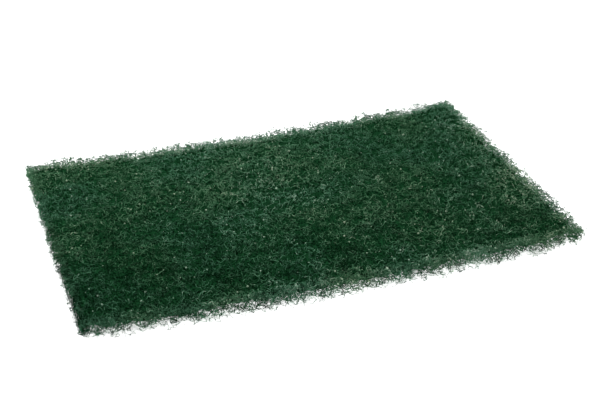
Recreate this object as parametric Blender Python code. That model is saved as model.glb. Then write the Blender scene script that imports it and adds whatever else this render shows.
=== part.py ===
"""A hand scouring pad: one rectangle cut from a lofty web of crimped, resin-bonded nylon fibre.

The pad lies on its underside. X runs along its length, Y across its width and Z up, in metres, and the
origin is on the table under the middle of the pad. The two short ends keep some curl from the roll.
"""

import math

import bmesh
import bpy
from mathutils import Vector, noise

# The cut rectangle
PAD_LENGTH = 0.230
PAD_WIDTH = 0.140
PAD_THICKNESS = 0.0072

# The corners in plan, and the rim, which the cutting die rolls over at the top and the bottom
CORNER_RADIUS = 0.0040
CORNER_SEGMENTS = 3
RIM_ROUND = 0.0024
RIM_SEGMENTS = 2

# The curl: a flat stretch in the middle, and how far each short end stands off the table
FLAT_STRETCH = 0.060
LEFT_END_RISE = 0.0032
RIGHT_END_RISE = 0.0026

# The web's relief: wide soft swells, and the tufts and pits between clumps of fibre
SWELL_PITCH = 0.045
SWELL_DEPTH = 0.0006
TUFT_PITCH = 0.0099
TUFT_DEPTH = 0.0028

# The cut edge's wander, always inwards: the long edges are loose and the short ends cleanly cut
BITE_PITCH = 0.010
LONG_EDGE_BITE = 0.0026
SHORT_END_BITE = 0.0008

# The spacing of the relief's points
RELIEF_STEP = 0.0043

FINEST = 1e-6
DARK_GREEN = (0.020, 0.070, 0.033, 1.0)
WEB_ROUGHNESS = 0.75


def clear_scene():
    """Removes whatever the scene holds."""
    for obj in list(bpy.data.objects):
        bpy.data.objects.remove(obj)


def web_material():
    """Green resin over nylon fibre, dull all over."""
    material = bpy.data.materials.new("green_nylon_web")
    material.use_nodes = True
    shader = material.node_tree.nodes["Principled BSDF"]
    shader.inputs["Base Color"].default_value = DARK_GREEN
    shader.inputs["Roughness"].default_value = WEB_ROUGHNESS
    shader.inputs["Metallic"].default_value = 0.0
    return material


def is_upright(edge):
    """True for an edge that runs straight up, as a block's four corners do."""
    low, high = edge.verts
    return math.hypot(high.co.x - low.co.x, high.co.y - low.co.y) < FINEST


def is_rim(edge):
    """True for an edge between the upright side and the top or the bottom."""
    upright_faces = [abs(face.normal.z) < 0.5 for face in edge.link_faces]
    return any(upright_faces) and not all(upright_faces)


def round_edges(mesh, edges, radius, segments):
    """Rolls these edges over to an arc of this radius."""
    bmesh.ops.bevel(
        mesh,
        geom=edges,
        offset=radius,
        offset_type="OFFSET",
        segments=segments,
        profile=0.5,
        affect="EDGES",
    )


def cut_block():
    """The pad as the die leaves it: a block with rounded corners and a rolled rim, standing on z = 0."""
    mesh = bmesh.new()
    bmesh.ops.create_cube(mesh, size=1.0)
    bmesh.ops.scale(mesh, vec=(PAD_LENGTH, PAD_WIDTH, PAD_THICKNESS), verts=mesh.verts)
    bmesh.ops.translate(mesh, vec=(0, 0, PAD_THICKNESS / 2), verts=mesh.verts)
    round_edges(mesh, [edge for edge in mesh.edges if is_upright(edge)], CORNER_RADIUS, CORNER_SEGMENTS)
    mesh.normal_update()
    rim = min(RIM_ROUND, 0.4 * PAD_THICKNESS, 0.8 * CORNER_RADIUS)
    round_edges(mesh, [edge for edge in mesh.edges if is_rim(edge)], rim, RIM_SEGMENTS)
    return mesh


def slice_block(mesh, axis, first, last, count):
    """Cuts the block by this many evenly spaced planes square to the axis, so that it can be bent there."""
    for index in range(count):
        place = first + (last - first) * index / max(1, count - 1)
        bmesh.ops.bisect_plane(
            mesh,
            geom=mesh.verts[:] + mesh.edges[:] + mesh.faces[:],
            dist=FINEST,
            plane_co=axis * place,
            plane_no=axis,
        )


def pit_depth(point, pitch, depth):
    """How far the surface lies below its tallest tufts here. Over half of it that is nothing."""
    return depth * max(0.0, noise.noise(point / pitch))


def past_flat(x):
    """How far past the flat stretch this place along the length is."""
    return max(0.0, abs(x) - FLAT_STRETCH / 2)


def end_rise(x):
    """How far the curl lifts the pad off the table at this place along its length."""
    share = past_flat(x) / ((PAD_LENGTH - FLAT_STRETCH) / 2)
    return (LEFT_END_RISE if x < 0 else RIGHT_END_RISE) * share**2


def pressed_in(place, outward):
    """Where a point of the block goes: down into a pit of the top or the bottom, and in from the cut edge."""
    bite = LONG_EDGE_BITE * abs(outward.y) + SHORT_END_BITE * abs(outward.x)
    inwards = pit_depth(place, BITE_PITCH, bite)
    pit = pit_depth(place, TUFT_PITCH, TUFT_DEPTH) + pit_depth(place, SWELL_PITCH, SWELL_DEPTH)
    if outward.z < 0 and past_flat(place.x) < RELIEF_STEP:
        pit = 0.0  # the middle of the underside is pressed flat on the table
    return place - Vector((outward.x * inwards, outward.y * inwards, outward.z * pit))


def roughen(mesh):
    """Presses pits into the surface and bites into the cut edge, and then curls the two ends."""
    mesh.normal_update()
    places = [pressed_in(vertex.co, vertex.normal) for vertex in mesh.verts]
    for vertex, place in zip(mesh.verts, places):
        vertex.co = place + Vector((0, 0, end_rise(place.x)))


def add_pad(collection):
    """The whole pad, one piece of web."""
    mesh = cut_block()
    half_length = PAD_LENGTH / 2 - CORNER_RADIUS
    half_width = PAD_WIDTH / 2 - CORNER_RADIUS
    slice_block(mesh, Vector((1, 0, 0)), -half_length, half_length, round(2 * half_length / RELIEF_STEP) + 1)
    slice_block(mesh, Vector((0, 1, 0)), -half_width, half_width, round(2 * half_width / RELIEF_STEP) + 1)
    slice_block(mesh, Vector((0, 0, 1)), PAD_THICKNESS / 2, PAD_THICKNESS / 2, 1)
    roughen(mesh)
    bmesh.ops.triangulate(mesh, faces=mesh.faces)
    data = bpy.data.meshes.new("pad")
    mesh.to_mesh(data)
    mesh.free()
    data.materials.append(web_material())
    collection.objects.link(bpy.data.objects.new("pad", data))


def main():
    clear_scene()
    collection = bpy.data.collections.new("scouring_pad")
    bpy.context.scene.collection.children.link(collection)
    add_pad(collection)


main()
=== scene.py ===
"""A hand scouring pad of coarse green nylon web, lying on a white table."""

import math

import bmesh
import bpy
import numpy as np
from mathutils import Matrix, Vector, noise
from mathutils.bvhtree import BVHTree


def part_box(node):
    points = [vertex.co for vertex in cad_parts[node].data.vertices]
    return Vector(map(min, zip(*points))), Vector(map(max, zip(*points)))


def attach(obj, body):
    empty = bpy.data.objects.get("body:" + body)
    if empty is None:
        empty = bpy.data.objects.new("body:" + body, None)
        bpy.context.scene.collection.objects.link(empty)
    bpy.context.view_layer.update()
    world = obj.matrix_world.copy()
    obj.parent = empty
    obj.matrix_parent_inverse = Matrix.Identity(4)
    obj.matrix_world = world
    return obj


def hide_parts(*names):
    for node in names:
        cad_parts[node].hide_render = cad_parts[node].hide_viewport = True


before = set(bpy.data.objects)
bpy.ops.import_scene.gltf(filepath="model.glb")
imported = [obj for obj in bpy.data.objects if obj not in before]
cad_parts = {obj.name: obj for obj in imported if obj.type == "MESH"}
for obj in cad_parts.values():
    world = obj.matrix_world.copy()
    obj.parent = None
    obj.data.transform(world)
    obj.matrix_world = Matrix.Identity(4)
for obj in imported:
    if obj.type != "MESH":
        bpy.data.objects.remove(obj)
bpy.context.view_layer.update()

# The pad as a whole: a rectangle cut from a roll of non-woven nylon web, which keeps some of the roll's
# curl, so that its middle lies on the table and its two short ends stand a little off it.
MM = 0.001
PAD_LOW, PAD_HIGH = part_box("pad")
HALF_LENGTH = (PAD_HIGH.x - PAD_LOW.x) / 2
HALF_WIDTH = (PAD_HIGH.y - PAD_LOW.y) / 2
THICKNESS = 7.2 * MM
RIM = 4.5 * MM
WELL_CLEAR = 0.1
pad_skin = BVHTree.FromObject(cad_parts["pad"], bpy.context.evaluated_depsgraph_get())
chance = np.random.default_rng(7)


def skin_height(places, outward):
    """The height of the pad's upper face (outward 1) or underside (-1) at these places, pits, curl and all.
    Over the rolled rim and past it, it is what it is just inside the rim."""
    inner = np.array([HALF_LENGTH - RIM, HALF_WIDTH - RIM])
    plan = np.clip(places[..., :2].reshape(-1, 2), -inner, inner)
    hits = [pad_skin.ray_cast((x, y, outward * WELL_CLEAR), (0, 0, -outward))[0] for x, y in plan]
    return np.array([hit.z for hit in hits]).reshape(places.shape[:-1])


# The web's inside: thousands of fibres too deep and too close to tell apart, drawn as one uneven mass,
# painted near-black with the shade that falls deep in the web. It stops short of the near edge and the
# ends, where the web is open and the table shows through. At the far edge, where the eye looks into the
# web's depth, it reaches a little past the cut.
INSIDE_STEP = 1.5 * MM
INSIDE_DEPTH = 1.4 * MM
INSIDE_LIFT = 1.5 * MM
LOWEST = 0.3 * MM
NEAR_INSET = 3.0 * MM
FAR_INSET = -1.8 * MM
LEFT_INSET = 1.2 * MM
RIGHT_INSET = 1.3 * MM
CORNER_INSET = 1.8 * MM
CORNER_REACH = 0.12
BITE_PITCH = 3.5 * MM
BITE_DEPTH = 1.8 * MM
END_BITE_SHARE = 0.5
SHOULDER = 1.6 * MM
TOP_SHOULDER_DROP = 1.0 * MM
UNDER_SHOULDER_DROP = 0.3 * MM
PIT_PITCH = 2.4 * MM
PIT_DEPTH = 1.5 * MM
UNDER_LAYER = 9.0
THINNEST_INSIDE = 0.5 * MM
FACE_SHARE = 0.48
WALL_FROM = 0.98
WARP_SCALE = 0.6 / MM
WARP_DEPTH = 1.2 * MM
STRAND_SCALE = 0.75 / MM
STRAND_RELIEF = 0.4 * MM
INSIDE_ROUGHNESS = 0.8
NO_QUADS = np.zeros((0, 4), int)
NO_TRIANGLES = np.zeros((0, 3), int)


def noise_at(points, pitch, layer=0.0):
    """Smooth noise from -1 to 1 at each point, on its own layer, with features this far apart."""
    return np.array([noise.noise(Vector((x, y, z)) / pitch + Vector((0, 0, layer))) for x, y, z in points])


def mesh_object(name, points, quads=NO_QUADS, triangles=NO_TRIANGLES):
    """A smooth-shaded object from arrays of points and of their numbers round each face."""
    mesh = bpy.data.meshes.new(name)
    corners = np.concatenate([quads.ravel(), triangles.ravel()])
    firsts = np.concatenate([np.arange(len(quads)) * 4, quads.size + np.arange(len(triangles)) * 3])
    mesh.vertices.add(len(points))
    mesh.vertices.foreach_set("co", points.ravel())
    mesh.loops.add(len(corners))
    mesh.loops.foreach_set("vertex_index", corners)
    mesh.polygons.add(len(firsts))
    mesh.polygons.foreach_set("loop_start", firsts)
    mesh.update(calc_edges=True)
    mesh.shade_smooth()
    made = bpy.data.objects.new(name, mesh)
    bpy.context.scene.collection.objects.link(made)
    return made


def add_bake_map(made, places):
    """The map that the object's colours are baked through, from the place on it of each face corner."""
    made.data.uv_layers.new(name="OFBake").data.foreach_set("uv", np.concatenate(places, axis=None))


def inside_plan(along, across):
    """Where the inside's points lie in plan, from their places along and across it, from -1 to 1. Its outline
    is bitten into at random and drawn in at the corners."""
    plan = np.stack([along * HALF_LENGTH, across * HALF_WIDTH, 0 * along], 1)
    bite = BITE_DEPTH * noise_at(plan, BITE_PITCH)
    cornered = CORNER_INSET * np.clip((np.abs(along * across) - 1) / CORNER_REACH + 1, 0, 1) ** 2
    end_inset = np.where(along < 0, LEFT_INSET, RIGHT_INSET)
    side_inset = np.where(across < 0, NEAR_INSET, FAR_INSET)
    plan[:, 0] = along * (HALF_LENGTH - end_inset - cornered - END_BITE_SHARE * bite)
    plan[:, 1] = across * (HALF_WIDTH - side_inset - cornered - bite)
    return plan


def inside_sheets(along, across):
    """The points of two pitted sheets that round off towards the edges, one under the pad's upper face and
    one over its underside."""
    plan = inside_plan(along, across)
    from_end = (1 - np.abs(along)) * HALF_LENGTH
    from_side = (1 - np.abs(across)) * HALF_WIDTH
    to_edge = np.clip(1 - np.stack([from_end, from_side]) / SHOULDER, 0, 1).max(0)
    rounding = 1 - np.sqrt(1 - to_edge**2)
    sheets = []
    for outward, depth, drop, layer in (
        (1, INSIDE_DEPTH, TOP_SHOULDER_DROP, 0.0),
        (-1, INSIDE_LIFT, UNDER_SHOULDER_DROP, UNDER_LAYER),
    ):
        sheet = plan.copy()
        inwards = depth + drop * rounding + PIT_DEPTH * noise_at(plan, PIT_PITCH, layer)
        sheet[:, 2] = skin_height(plan, outward) - outward * inwards
        sheets.append(sheet)
    upper, lower = sheets
    lower[:, 2] = np.maximum(LOWEST, np.minimum(lower[:, 2], upper[:, 2] - THINNEST_INSIDE))
    return upper, lower


def web_inside():
    """The two sheets, closed by a wall round them. Their map has the upper sheet, the lower one above it, and
    the wall as a strip along the top."""
    columns = round(2 * HALF_LENGTH / INSIDE_STEP)
    rows = round(2 * HALF_WIDTH / INSIDE_STEP)
    across, along = np.meshgrid(np.linspace(-1, 1, rows), np.linspace(-1, 1, columns))
    across, along = across.ravel(), along.ravel()
    points = np.concatenate(inside_sheets(along, across))
    number = np.arange(columns * rows).reshape(columns, rows)
    top = np.stack([number[:-1, :-1], number[1:, :-1], number[1:, 1:], number[:-1, 1:]], -1).reshape(-1, 4)
    under = top[:, ::-1] + number.size
    rim = np.concatenate([number[:, 0], number[-1, 1:], number[-2::-1, -1], number[0, -2:0:-1]])
    following = np.roll(rim, -1)
    wall = np.stack([rim, rim + number.size, following + number.size, following], 1)
    made = mesh_object("web_inside", points, np.concatenate([top, under, wall]))
    flat = np.stack([(1 + along) / 2, FACE_SHARE * (1 + across) / 2], 1)
    round_rim = (np.arange(len(rim))[:, None] + (0, 0, 1, 1)) / len(rim)
    up_wall = np.tile((WALL_FROM, 1.0, 1.0, WALL_FROM), (len(rim), 1))
    add_bake_map(made, [flat[top], flat[top[:, ::-1]] + (0, FACE_SHARE), np.stack([round_rim, up_wall], -1)])
    return made


inside = web_inside()


def linear(hex_colour):
    """The linear RGBA of an sRGB hex colour."""
    channels = [int(hex_colour[i : i + 2], 16) / 255 for i in (1, 3, 5)]
    return [c / 12.92 if c <= 0.04045 else ((c + 0.055) / 1.055) ** 2.4 for c in channels] + [1.0]


def add_node(material, kind, inputs=(), **settings):
    """A node of this kind with these settings. inputs maps a socket's name or number to its value, or to the
    output socket it is linked from."""
    node = material.node_tree.nodes.new(kind)
    for name, value in settings.items():
        setattr(node, name, value)
    for key, value in dict(inputs).items():
        if isinstance(value, bpy.types.NodeSocket):
            material.node_tree.links.new(value, node.inputs[key])
        else:
            node.inputs[key].default_value = value
    return node


def new_material(name):
    """A material with no nodes yet."""
    material = bpy.data.materials.new(name)
    material.use_nodes = True
    material.node_tree.nodes.clear()
    return material


def set_stops(ramp, stops):
    """Gives a colour ramp these (place, sRGB hex) stops."""
    elements = ramp.color_ramp.elements
    while len(elements) < len(stops):
        elements.new(0.5)
    for element, (place, colour) in zip(elements, stops):
        element.position = place
        element.color = linear(colour)


def web_inside_material():
    """Resin-coated fibres deep in the web: dull green strands crossing hollows painted near-black as the
    shade deep in the web, too broken up for a sheen. The real strands are too fine to show, and are drawn
    coarser."""
    material = new_material("resin_coated_web_inside")
    place = add_node(material, "ShaderNodeTexCoord").outputs["Object"]
    warp = add_node(material, "ShaderNodeTexNoise", {"Vector": place, "Scale": WARP_SCALE, "Detail": 2.0})
    bent = add_node(
        material,
        "ShaderNodeVectorMath",
        {0: warp.outputs["Color"], 1: (WARP_DEPTH, WARP_DEPTH, WARP_DEPTH), 2: place},
        operation="MULTIPLY_ADD",
    )
    cells = add_node(
        material,
        "ShaderNodeTexVoronoi",
        {"Vector": bent.outputs[0], "Scale": STRAND_SCALE},
        feature="DISTANCE_TO_EDGE",
    ).outputs["Distance"]
    ramp = add_node(material, "ShaderNodeValToRGB", {"Fac": cells})
    # Painted shade: the hollows between the strands run to near-black.
    set_stops(ramp, ((0.0, "#183f25"), (0.10, "#0d2b17"), (0.22, "#031709"), (1.0, "#000803")))
    bump = add_node(
        material, "ShaderNodeBump", {"Height": cells, "Strength": 1.0, "Distance": STRAND_RELIEF}, invert=True
    )
    shader = add_node(
        material,
        "ShaderNodeBsdfPrincipled",
        {
            "Base Color": ramp.outputs["Color"],
            "Roughness": INSIDE_ROUGHNESS,
            "Specular IOR Level": 0.0,
            "Normal": bump.outputs["Normal"],
        },
    )
    add_node(material, "ShaderNodeOutputMaterial", {"Surface": shader.outputs["BSDF"]})
    return material


inside.data.materials.append(web_inside_material())
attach(inside, "root")
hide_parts("pad")

# The fibres near the surface: crimped nylon filaments, stiff with green resin, bonded where they cross.
# They curl in loops two to four millimetres across, over one another and down into the web. The real ones
# are longer, and are drawn as short lengths.
JOINTS = 7
SIDES = 3
JOINT_STEP = 0.9 * MM
CRIMP_PITCH = 4.5 * MM
SWAY_PITCH = 4.0 * MM
THINNEST = 0.09 * MM
THICKEST = 0.17 * MM
SQUARE_MARGIN = 0.03
LIE_TILT = 0.16
LIE_TURN = (-1.0 / MM, 1.0 / MM)
LIE_CRIMP = (0.3, 1.4)
LIE_SWAY = (0.2 * MM, 0.8 * MM)
STRAGGLE = {"near": 1.2 * MM, "far": 5.0 * MM, "left": 0.3 * MM, "right": 0.6 * MM}


def centre_lines(roots, first, second, heading, turn, crimp, sway):
    """Each fibre's joints, and the direction square to its plane. From its root it runs in the plane of its
    first and second directions, turning so much for each metre of its length. It is crimped to either side
    by an angle, and sways out of the plane by a distance."""
    count = len(roots)
    steps = np.arange(JOINTS) * JOINT_STEP
    phase = chance.uniform(0, 2 * math.pi, (2, count, 1))
    angle = heading[:, None] + turn[:, None] * steps
    angle = angle + crimp[:, None] * np.sin(2 * math.pi * steps / CRIMP_PITCH + phase[0])
    moves = np.cos(angle)[..., None] * first[:, None] + np.sin(angle)[..., None] * second[:, None]
    lines = roots[:, None] + JOINT_STEP * (np.cumsum(moves, 1) - moves[:, :1])
    third = np.cross(first, second)
    out = sway[:, None] * np.sin(2 * math.pi * steps / SWAY_PITCH + phase[1])
    return lines + out[..., None] * third[:, None], third


# The web's shades, with light and shade painted into them: clumps of fibre are painted as catching the
# light or holding shadow, broad blotches differ at random, and the pad is painted lighter or darker where
# more or less light falls on it. A tone runs from 0 for dark to 1 for light. At the right end the painted
# light rim is wider than along the two long edges, and the fringe's painted shade deepens more slowly.
TONE = 0.45
TONE_SPREAD = 0.10
# The middle of each patch painted lighter or darker for how the light falls on the pad, how far it
# reaches, and how much lighter it is.
PAINTED_LIGHT_PATCHES = (
    ((-5 * MM, 22 * MM), 42 * MM, 0.16),
    ((-15 * MM, 9 * MM), 15 * MM, 0.10),
    ((-75 * MM, -38 * MM), 50 * MM, -0.16),
    ((-106 * MM, -54 * MM), 20 * MM, -0.15),
    ((2 * MM, -40 * MM), 18 * MM, -0.15),
    ((55 * MM, 42 * MM), 35 * MM, -0.07),
    ((108 * MM, -18 * MM), 17 * MM, 0.12),
)
RIM_REACH = 10 * MM
RIM_PAINTED_LIGHT = 0.20
RIGHT_RIM_SHARE = 0.45
RIGHT_FRINGE_SHARE = 0.6
FAR_PAINTED_LIGHT = 0.05
FAR_EVENER = 0.45
FRINGE_REACH = 3 * MM
FRINGE_PAINTED_SHADE = 0.30
LEFT_REACH = 5 * MM
LEFT_PAINTED_SHADE = 0.09
CREST_PAINTED_LIGHT = 0.07 / MM
CLUMP_PITCH = 3.5 * MM
CLUMP_SWING = 0.29
CLUMP_LAYER = 3.0
BLOTCH_PITCH = 14 * MM
BLOTCH_SWING = 0.20
BLOTCH_LAYER = 5.0


def tones_at(middles):
    """A tone for each thing in the web at these places, from 0 dark to 1 light, with painted light and shade:
    lighter and more even on the far half, lighter near three edges, darker at the left end and in the fringe."""
    middles = middles * (1, 1, 0)
    x, y = middles[:, 0], middles[:, 1]
    swing = chance.normal(0, TONE_SPREAD, len(middles))
    # Painted light and shade: clumps of fibre painted lighter or darker.
    swing += CLUMP_SWING * noise_at(middles, CLUMP_PITCH, CLUMP_LAYER)
    swing += BLOTCH_SWING * noise_at(middles, BLOTCH_PITCH, BLOTCH_LAYER)
    far = y / HALF_WIDTH
    # Painted light: the far half is painted lighter, and its swing of tone evened out.
    tone = TONE + (1 - FAR_EVENER * far) * swing + FAR_PAINTED_LIGHT * far
    # Painted light and shade: patches lighter or darker for how the light falls across the pad.
    for place, reach, lighter in PAINTED_LIGHT_PATCHES:
        tone += lighter * np.exp(-((np.linalg.norm(middles[:, :2] - place, axis=1) / reach) ** 2))
    # Painted light: within reach of three edges the web is painted lighter, as light reaches in from outside.
    from_rim = np.minimum(RIGHT_RIM_SHARE * (HALF_LENGTH - x), HALF_WIDTH - np.abs(y))
    tone += RIM_PAINTED_LIGHT * np.clip(1 - from_rim / RIM_REACH, 0, 1)
    # Painted shade: fibres past the edges are painted darker.
    past_edge = np.maximum(RIGHT_FRINGE_SHARE * (x - HALF_LENGTH), np.abs(y) - HALF_WIDTH)
    tone -= FRINGE_PAINTED_SHADE * np.clip(past_edge / FRINGE_REACH, 0, 1)
    # Painted shade: the left end is painted darker.
    tone -= LEFT_PAINTED_SHADE * np.clip(1 - (HALF_LENGTH + x) / LEFT_REACH, 0, 1)
    return tone


def squares(count, across):
    """The column and the row of each of this many squares, in rows of so many."""
    number = np.arange(count)
    return np.stack([number % across, number // across], 1)


def in_squares(count, corners):
    """Places on a map for this many like parts, each in a square of its own, from their places within it."""
    across = math.ceil(math.sqrt(count))
    corners = np.reshape(corners, (-1, 2))
    return (squares(count, across)[:, None] + SQUARE_MARGIN + (1 - 2 * SQUARE_MARGIN) * corners) / across


def tube_points(lines, third, thinner):
    """The points of tubes round these centre lines, three at each joint. third is the direction square to
    each fibre's plane."""
    along = np.gradient(lines, axis=1)
    side = np.cross(along, third[:, None])
    side /= np.linalg.norm(side, axis=-1, keepdims=True)
    up = np.cross(side, along)
    up /= np.linalg.norm(up, axis=-1, keepdims=True)
    radius = thinner * chance.uniform(THINNEST, THICKEST, (len(lines), 1, 1, 1))
    around = np.arange(SIDES) * 2 * math.pi / SIDES
    ring = np.cos(around)[:, None] * side[:, :, None] + np.sin(around)[:, None] * up[:, :, None]
    return (lines[:, :, None] + radius * ring).reshape(-1, 3)


def tube_places(count):
    """Where the faces of this many tubes lie on their map. Each tube has a square, with its first end, its
    sides from joint to joint, and its last end."""
    side, joint = np.meshgrid(np.arange(SIDES), np.arange(JOINTS - 1))
    corners = ((0, 0), (0, 1), (1, 1), (1, 0))
    sides = np.stack([np.stack([(side + x) / SIDES, joint + 1 + y], -1) for x, y in corners], 2)
    end = np.array([(0, 0), (1, 0), (0.5, 1)])
    return [in_squares(count, part / (1, JOINTS + 1)) for part in (sides, end, end + (0, JOINTS))]


def set_tones(made, tones):
    """Keeps a tone at each point of the object, which its material reads."""
    made.data.attributes.new("tone", "FLOAT", "POINT").data.foreach_set("value", tones)


def fibre_object(name, lines, third, thinner=1.0):
    """One object of many closed, three-sided tubes round these centre lines, kept off the table."""
    count = len(lines)
    lines[..., 2] = np.maximum(lines[..., 2], THICKEST)
    number = np.arange(count * JOINTS * SIDES).reshape(count, JOINTS, SIDES)
    beside = np.roll(number, -1, axis=2)
    quads = np.stack([number[:, :-1], number[:, 1:], beside[:, 1:], beside[:, :-1]], -1).reshape(-1, 4)
    ends = np.concatenate([number[:, 0], number[:, -1, ::-1]])
    made = mesh_object(name, tube_points(lines, third, thinner), quads, ends)
    add_bake_map(made, tube_places(count))
    # Painted shade: each fibre is painted lighter where it rises and darker where it dips into the web.
    painted_crest_light = CREST_PAINTED_LIGHT * (lines[..., 2] - lines[..., 2].mean(1, keepdims=True))
    set_tones(made, np.repeat(tones_at(lines.mean(1))[:, None] + painted_crest_light, SIDES))
    return made


def flat_fibres(count, outward, deepest):
    """Fibres that lie along the upper face (outward 1) or the underside (-1), down to this depth within it.
    Those that would straggle too far past an edge are moved back."""
    roots = np.stack(
        [
            chance.uniform(-HALF_LENGTH, HALF_LENGTH, count),
            chance.uniform(-HALF_WIDTH, HALF_WIDTH, count),
            -outward * chance.uniform(0, deepest, count),
        ],
        1,
    )
    tilt = chance.normal(0, LIE_TILT, (2, count))
    first = np.stack([np.ones(count), 0 * tilt[0], tilt[0]], 1)
    second = np.stack([0 * tilt[1], np.ones(count), tilt[1]], 1)
    lines, third = centre_lines(
        roots,
        first,
        second,
        chance.uniform(0, 2 * math.pi, count),
        chance.uniform(*LIE_TURN, count),
        chance.uniform(*LIE_CRIMP, count),
        chance.uniform(*LIE_SWAY, count),
    )
    lines += (roots - lines.mean(1))[:, None]
    furthest = np.array([HALF_LENGTH + STRAGGLE["right"], HALF_WIDTH + STRAGGLE["far"]])
    nearest = np.array([-HALF_LENGTH - STRAGGLE["left"], -HALF_WIDTH - STRAGGLE["near"]])
    lines[..., :2] -= np.maximum(0, lines[..., :2].max(1) - furthest)[:, None]
    lines[..., :2] += np.maximum(0, nearest - lines[..., :2].min(1))[:, None]
    lines[..., 2] += skin_height(lines, outward)
    return lines, third


TOP_FIBRES = 9000
TOP_DEEPEST = 1.5 * MM
UNDER_FIBRES = 1500
UNDER_DEEPEST = 1.0 * MM
PER_OBJECT = 4500
top_lines, top_third = flat_fibres(TOP_FIBRES, 1, TOP_DEEPEST)
under_lines, under_third = flat_fibres(UNDER_FIBRES, -1, UNDER_DEEPEST)
tops = []
for first in range(0, TOP_FIBRES, PER_OBJECT):
    some = slice(first, first + PER_OBJECT)
    tops.append(fibre_object(f"top_fibres_{first // PER_OBJECT}", top_lines[some], top_third[some]))
under = fibre_object("under_fibres", under_lines, under_third)

# The cut edges: the fibres there were cut or pulled loose, and curl out of the edge as a lace, with the table
# in sight through it. The far edge is the loosest, and the left end is cut the closest.
EDGE_THINNER = 0.8
EDGE_LOWEST = 0.6 * MM
EDGE_PROUD = 0.3 * MM
EDGE_TURN = (0.3 / MM, 1.1 / MM)
EDGE_CRIMP = (0.2, 1.0)
EDGE_SWAY = (0.1 * MM, 0.6 * MM)
CORNER_TAPER = 16 * MM
CORNER_SHARE = 0.6


def edge_fibres(count, outward, span, edge, deepest, furthest, top_heavy):
    """Curls along one cut edge, thinning from deepest inside it to furthest outside, and reaching less far
    near its corners. span is half the edge's length, and edge is how far out it is. A top_heavy over 1 puts
    more of them high up."""
    outward = np.array(outward, float)
    sideways = np.array([-outward[1], outward[0], 0.0])
    upward = np.array([0.0, 0.0, 1.0])
    reach = furthest - (furthest + deepest) * np.sqrt(chance.random(count))
    place = chance.uniform(-span, span, count)
    reach *= np.where(reach > 0, np.clip((span - np.abs(place)) / CORNER_TAPER, CORNER_SHARE, 1), 1)
    middles = (edge + reach)[:, None] * outward + place[:, None] * sideways
    middles[:, 2] = EDGE_LOWEST + (THICKNESS - EDGE_LOWEST) * chance.random(count) ** (1 / top_heavy)
    lean = chance.uniform(-math.pi / 2, math.pi / 2, (2, count, 1))
    first = np.cos(lean[0]) * sideways + np.sin(lean[0]) * outward
    second = np.cos(lean[1]) * np.cross(upward, first) + np.sin(lean[1]) * upward
    lines, third = centre_lines(
        middles,
        first,
        second,
        chance.uniform(0, 2 * math.pi, count),
        chance.choice([-1, 1], count) * chance.uniform(*EDGE_TURN, count),
        chance.uniform(*EDGE_CRIMP, count),
        chance.uniform(*EDGE_SWAY, count),
    )
    lines += (middles - lines.mean(1))[:, None]
    share = np.clip(lines[..., 2], THICKEST, THICKNESS + EDGE_PROUD) / THICKNESS
    lines[..., 2] = (1 - share) * skin_height(lines, -1) + share * skin_height(lines, 1)
    return lines, third


edges = []
edge_lines = []
for name, outward, count, span, edge, deepest, furthest, top_heavy in (
    ("near_edge_fibres", (0, -1, 0), 3750, HALF_LENGTH, HALF_WIDTH, 3.6 * MM, 6.4 * MM, 1.0),
    ("far_edge_fibres", (0, 1, 0), 5200, HALF_LENGTH + 1 * MM, HALF_WIDTH, 2.4 * MM, 11.2 * MM, 1.8),
    ("left_end_fibres", (-1, 0, 0), 1700, HALF_WIDTH + 1 * MM, HALF_LENGTH, 2.2 * MM, 1.8 * MM, 1.0),
    ("right_end_fibres", (1, 0, 0), 2000, HALF_WIDTH + 2 * MM, HALF_LENGTH, 2.8 * MM, 6.0 * MM, 1.2),
):
    lines, third = edge_fibres(count, outward, span, edge, deepest, furthest, top_heavy)
    edges.append(fibre_object(name, lines, third, EDGE_THINNER))
    edge_lines.append(lines)

GRIT_PITCH = 1.0 * MM
GRIT_AND_GLINT_SWING = 1.5
HUE_PITCH = 38 * MM
FIBRE_ROUGHNESS = 0.55
COLOUR_A, COLOUR_B, MIXED_COLOUR = 6, 7, 2


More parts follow.
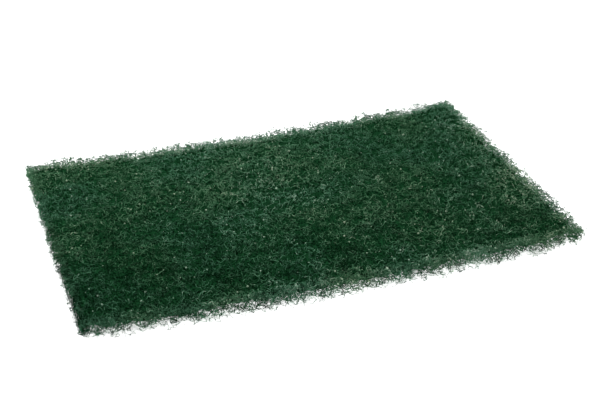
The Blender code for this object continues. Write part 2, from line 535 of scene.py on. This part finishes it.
def fibre_material():
    """Green phenolic resin over nylon: dull, too broken up for a sheen, each fibre its own shade with light
    and shade painted into it, mottled by the grit bonded along it, whose lightest flecks are also painted
    highlights, in a dye that drifts between teal and olive. The real grit is too fine to show, and is drawn
    coarser."""
    material = new_material("green_resin_on_nylon_fibre")
    place = add_node(material, "ShaderNodeTexCoord").outputs["Object"]
    tone = add_node(material, "ShaderNodeAttribute", attribute_name="tone").outputs["Fac"]
    # The grit's mottling, its lightest flecks also standing in as painted highlights.
    grit = add_node(material, "ShaderNodeTexNoise", {"Vector": place, "Scale": 1 / GRIT_PITCH, "Detail": 2.0})
    swing = add_node(
        material,
        "ShaderNodeMath",
        {0: grit.outputs["Fac"], 1: GRIT_AND_GLINT_SWING, 2: -GRIT_AND_GLINT_SWING / 2},
        operation="MULTIPLY_ADD",
    )
    shade = add_node(material, "ShaderNodeMath", {0: tone, 1: swing.outputs[0]}, operation="ADD")
    ramp = add_node(material, "ShaderNodeValToRGB", {"Fac": shade.outputs[0]})
    set_stops(
        ramp, ((0.08, "#041d0c"), (0.36, "#385f46"), (0.6, "#4a7257"), (0.8, "#5b8468"), (1.0, "#9fb59f"))
    )
    drift = add_node(material, "ShaderNodeTexNoise", {"Vector": place, "Scale": 1 / HUE_PITCH, "Detail": 1.0})
    dye = add_node(material, "ShaderNodeValToRGB", {"Fac": drift.outputs["Fac"]})
    set_stops(dye, ((0.38, "#f5fcff"), (0.62, "#fffbf3")))
    colour = add_node(
        material,
        "ShaderNodeMix",
        {"Factor": 1.0, COLOUR_A: ramp.outputs["Color"], COLOUR_B: dye.outputs["Color"]},
        data_type="RGBA",
        blend_type="MULTIPLY",
    )
    shader = add_node(
        material,
        "ShaderNodeBsdfPrincipled",
        {"Base Color": colour.outputs[MIXED_COLOUR], "Roughness": FIBRE_ROUGHNESS, "Specular IOR Level": 0.0},
    )
    add_node(material, "ShaderNodeOutputMaterial", {"Surface": shader.outputs["BSDF"]})
    return material


fibre_look = fibre_material()
for piece in [*tops, under, *edges]:
    piece.data.materials.append(fibre_look)
    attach(piece, "root")

# The resin gathers in beads where fibres cross, with grains of grit stuck in it, painted lighter both for
# the pale grit and as painted glints where it catches the light.
BEADS = 3000
SMALLEST_BEAD = 0.14 * MM
BIGGEST_BEAD = 0.52 * MM
MOSTLY_SMALL = 3
BEAD_UNEVENNESS = 0.35
BOXES_ACROSS = 5
BOXED_FACE = ((0, 0), (0.9, 0), (0, 0.9))
BEAD_GRIT_AND_GLINT = 0.28


def resin_beads():
    """Rough twenty-sided beads at random joints of the fibres. On their map each bead has a square, and each
    of its faces has a box in that square."""
    seed_mesh = bpy.data.meshes.new("bead")
    shape = bmesh.new()
    bmesh.ops.create_icosphere(shape, subdivisions=1, radius=1.0)
    shape.to_mesh(seed_mesh)
    shape.free()
    corners = np.array([tuple(vertex.co) for vertex in seed_mesh.vertices])
    faces = np.array([tuple(face.vertices) for face in seed_mesh.polygons])
    bpy.data.meshes.remove(seed_mesh)
    joints = np.concatenate([top_lines, *edge_lines, under_lines]).reshape(-1, 3)
    middles = joints[chance.choice(len(joints), BEADS, replace=False), None]
    radius = SMALLEST_BEAD + (BIGGEST_BEAD - SMALLEST_BEAD) * chance.random((BEADS, 1, 1)) ** MOSTLY_SMALL
    middles[..., 2] = np.maximum(middles[..., 2], BIGGEST_BEAD * (1 + BEAD_UNEVENNESS))
    rough = 1 + chance.uniform(-BEAD_UNEVENNESS, BEAD_UNEVENNESS, (BEADS, len(corners), 3))
    points = (middles + radius * corners * rough).reshape(-1, 3)
    triangles = (faces + (np.arange(BEADS) * len(corners))[:, None, None]).reshape(-1, 3)
    made = mesh_object("resin_beads", points, triangles=triangles)
    boxes = squares(len(faces), BOXES_ACROSS)
    add_bake_map(made, [in_squares(BEADS, (boxes[:, None] + BOXED_FACE) / BOXES_ACROSS)])
    # Painted highlight: beads are painted lighter, partly for the pale grit, partly as glints.
    tone = tones_at(middles[:, 0]) + BEAD_GRIT_AND_GLINT * (1 + chance.exponential(1.0, BEADS))
    set_tones(made, np.repeat(tone, len(corners)))
    return made


beads = resin_beads()
beads.data.materials.append(fibre_look)
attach(beads, "root")

# The table: a plain white sheet, lit from all round by a white room so that it holds no shadow.
FLOOR_SIDE = 4.0
TABLE_GLOW = 0.9
ROOM_LIGHT = 1.0
floor_points = np.array([(-1, -1, 0), (1, -1, 0), (1, 1, 0), (-1, 1, 0)], float) * FLOOR_SIDE / 2
floor = mesh_object("white_table", floor_points, np.array([[0, 1, 2, 3]]))
white = new_material("white_table")
white_shader = add_node(
    white,
    "ShaderNodeBsdfPrincipled",
    {"Base Color": linear("#ffffff"), "Emission Color": linear("#ffffff"), "Emission Strength": TABLE_GLOW},
)
add_node(white, "ShaderNodeOutputMaterial", {"Surface": white_shader.outputs["BSDF"]})
floor.data.materials.append(white)

world = bpy.data.worlds.new("white_room")
world.use_nodes = True
world.node_tree.nodes["Background"].inputs["Color"].default_value = linear("#ffffff")
world.node_tree.nodes["Background"].inputs["Strength"].default_value = ROOM_LIGHT
bpy.context.scene.world = world

# A soft lamp above and behind the pad, so that its far half is the lighter one.
LAMP_PLACE = Vector((-0.06, 0.24, 0.32))
LAMP_AIM = Vector((-0.02, 0.03, 0.0))
LAMP_SIDE = 0.16
LAMP_POWER = 1.4
lamp = bpy.data.objects.new("soft_lamp", bpy.data.lights.new("soft_lamp", "AREA"))
bpy.context.scene.collection.objects.link(lamp)
lamp.location = LAMP_PLACE
lamp.rotation_euler = (LAMP_AIM - LAMP_PLACE).to_track_quat("-Z", "Y").to_euler()
lamp.data.size = LAMP_SIDE
lamp.data.energy = LAMP_POWER

# The camera stands in front of the pad and to its left, looking down at it.
ELEVATION = 30.0
AZIMUTH = -19.3
LENS = 75.6
AWAY = 0.607
ASIDE = (0.0035, 0.0069)
camera = bpy.data.objects.new("camera", bpy.data.cameras.new("camera"))
bpy.context.scene.collection.objects.link(camera)
camera.data.lens = LENS
camera.rotation_euler = (math.radians(90 - ELEVATION), 0, math.radians(AZIMUTH))
camera.location = camera.rotation_euler.to_matrix() @ Vector((*ASIDE, AWAY))
bpy.context.scene.camera = camera
bpy.context.scene.view_settings.view_transform = "Standard"
